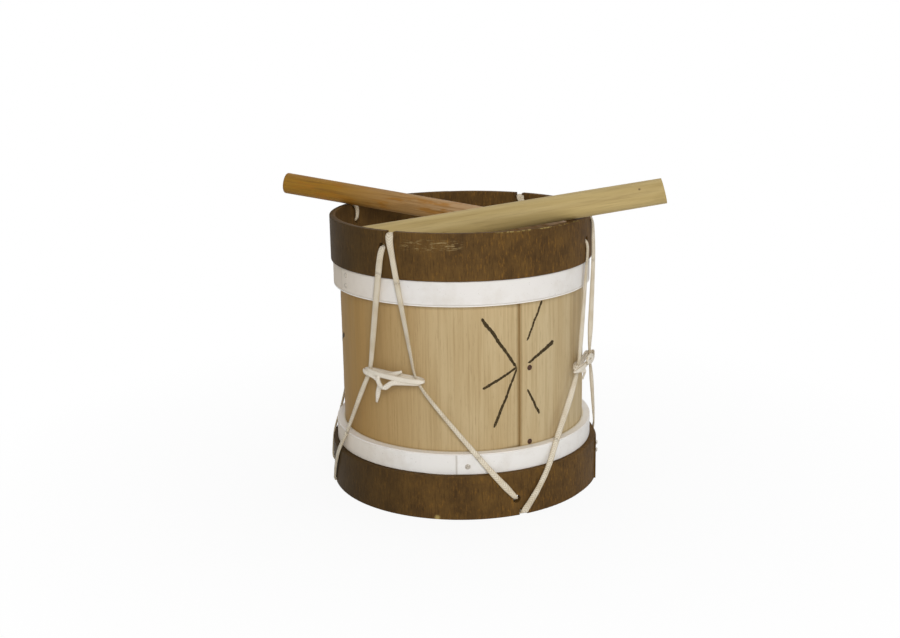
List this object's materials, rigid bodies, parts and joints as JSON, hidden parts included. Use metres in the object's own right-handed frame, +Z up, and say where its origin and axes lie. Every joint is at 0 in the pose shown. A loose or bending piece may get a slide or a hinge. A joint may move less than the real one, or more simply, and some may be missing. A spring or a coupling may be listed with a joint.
{
  "type": "bombo drum",
  "caption": "Small lace-tensioned wooden drum with hide heads, dark hoops, white strips and sliding lace ties, its sticks laid across the rim.",
  "frame": {"origin": "on the drum's axis, in the plane that the bottom hoop stands on", "axes": "+Z up the drum's axis, +X to the right of the picture, where the sticks' long spread lies, +Y away from the viewer"},
  "size_m": [0.2844, 0.2074, 0.2353],
  "materials": {
    "shell_wood": "bare pale plywood with an upright grain, waxed",
    "dark_hoop": "dark brown stained bentwood, worn at the edges",
    "white_paint": "white painted strip, a little grubby",
    "rawhide": "translucent cream rawhide, turned out as a cream line under the white strips",
    "white_lace": "off-white flat lace",
    "nail_iron": "rusty iron",
    "bright_nails": "pale bare steel",
    "painted_nails": "painted over with the strip",
    "orange_stick": "orange-brown turned wood",
    "pale_stick": "pale sanded wood"
  },
  "bodies": {
    "drum": {"shell": "shell_wood", "shell_seam_nails": "nail_iron", "top_flesh_hoop": "white_paint", "bottom_flesh_hoop": "white_paint", "top_flesh_hoop_nails": "painted_nails", "bottom_flesh_hoop_nails": "nail_iron", "top_head": "rawhide", "bottom_head": "rawhide", "top_counter_hoop": "dark_hoop", "bottom_counter_hoop": "dark_hoop", "top_counter_hoop_nails": "nail_iron", "bottom_counter_hoop_nails": "bright_nails", "lacing_cord": "white_lace", "lacing_knot": "white_lace"},
    "tie_front_left": {"tie_front_left": "white_lace"},
    "tie_right": {"tie_right": "white_lace"},
    "tie_back_right": {"tie_back_right": "white_lace"},
    "tie_back_left": {"tie_back_left": "white_lace"},
    "stick_left": {"stick_left": "orange_stick"},
    "stick_right": {"stick_right": "pale_stick"}
  },
  "joints": [
    {"name": "tie_front_left_slide", "type": "slide", "parent": "drum", "child": "tie_front_left", "axis": [0, 0, 1], "range_m": [-0.014, 0.014], "deforming": ["lacing_cord"]},
    {"name": "tie_right_slide", "type": "slide", "parent": "drum", "child": "tie_right", "axis": [0, 0, 1], "range_m": [-0.014, 0.014], "deforming": ["lacing_cord"]},
    {"name": "tie_back_right_slide", "type": "slide", "parent": "drum", "child": "tie_back_right", "axis": [0, 0, 1], "range_m": [-0.014, 0.014], "deforming": ["lacing_cord"]},
    {"name": "tie_back_left_slide", "type": "slide", "parent": "drum", "child": "tie_back_left", "axis": [0, 0, 1], "range_m": [-0.014, 0.014], "deforming": ["lacing_cord"]},
    {"name": "stick_left_lift", "type": "slide", "parent": "drum", "child": "stick_left", "axis": [0, 0, 1], "range_m": [0, 0.12]},
    {"name": "stick_right_lift", "type": "slide", "parent": "drum", "child": "stick_right", "axis": [0, 0, 1], "range_m": [0, 0.12]}
  ]
}
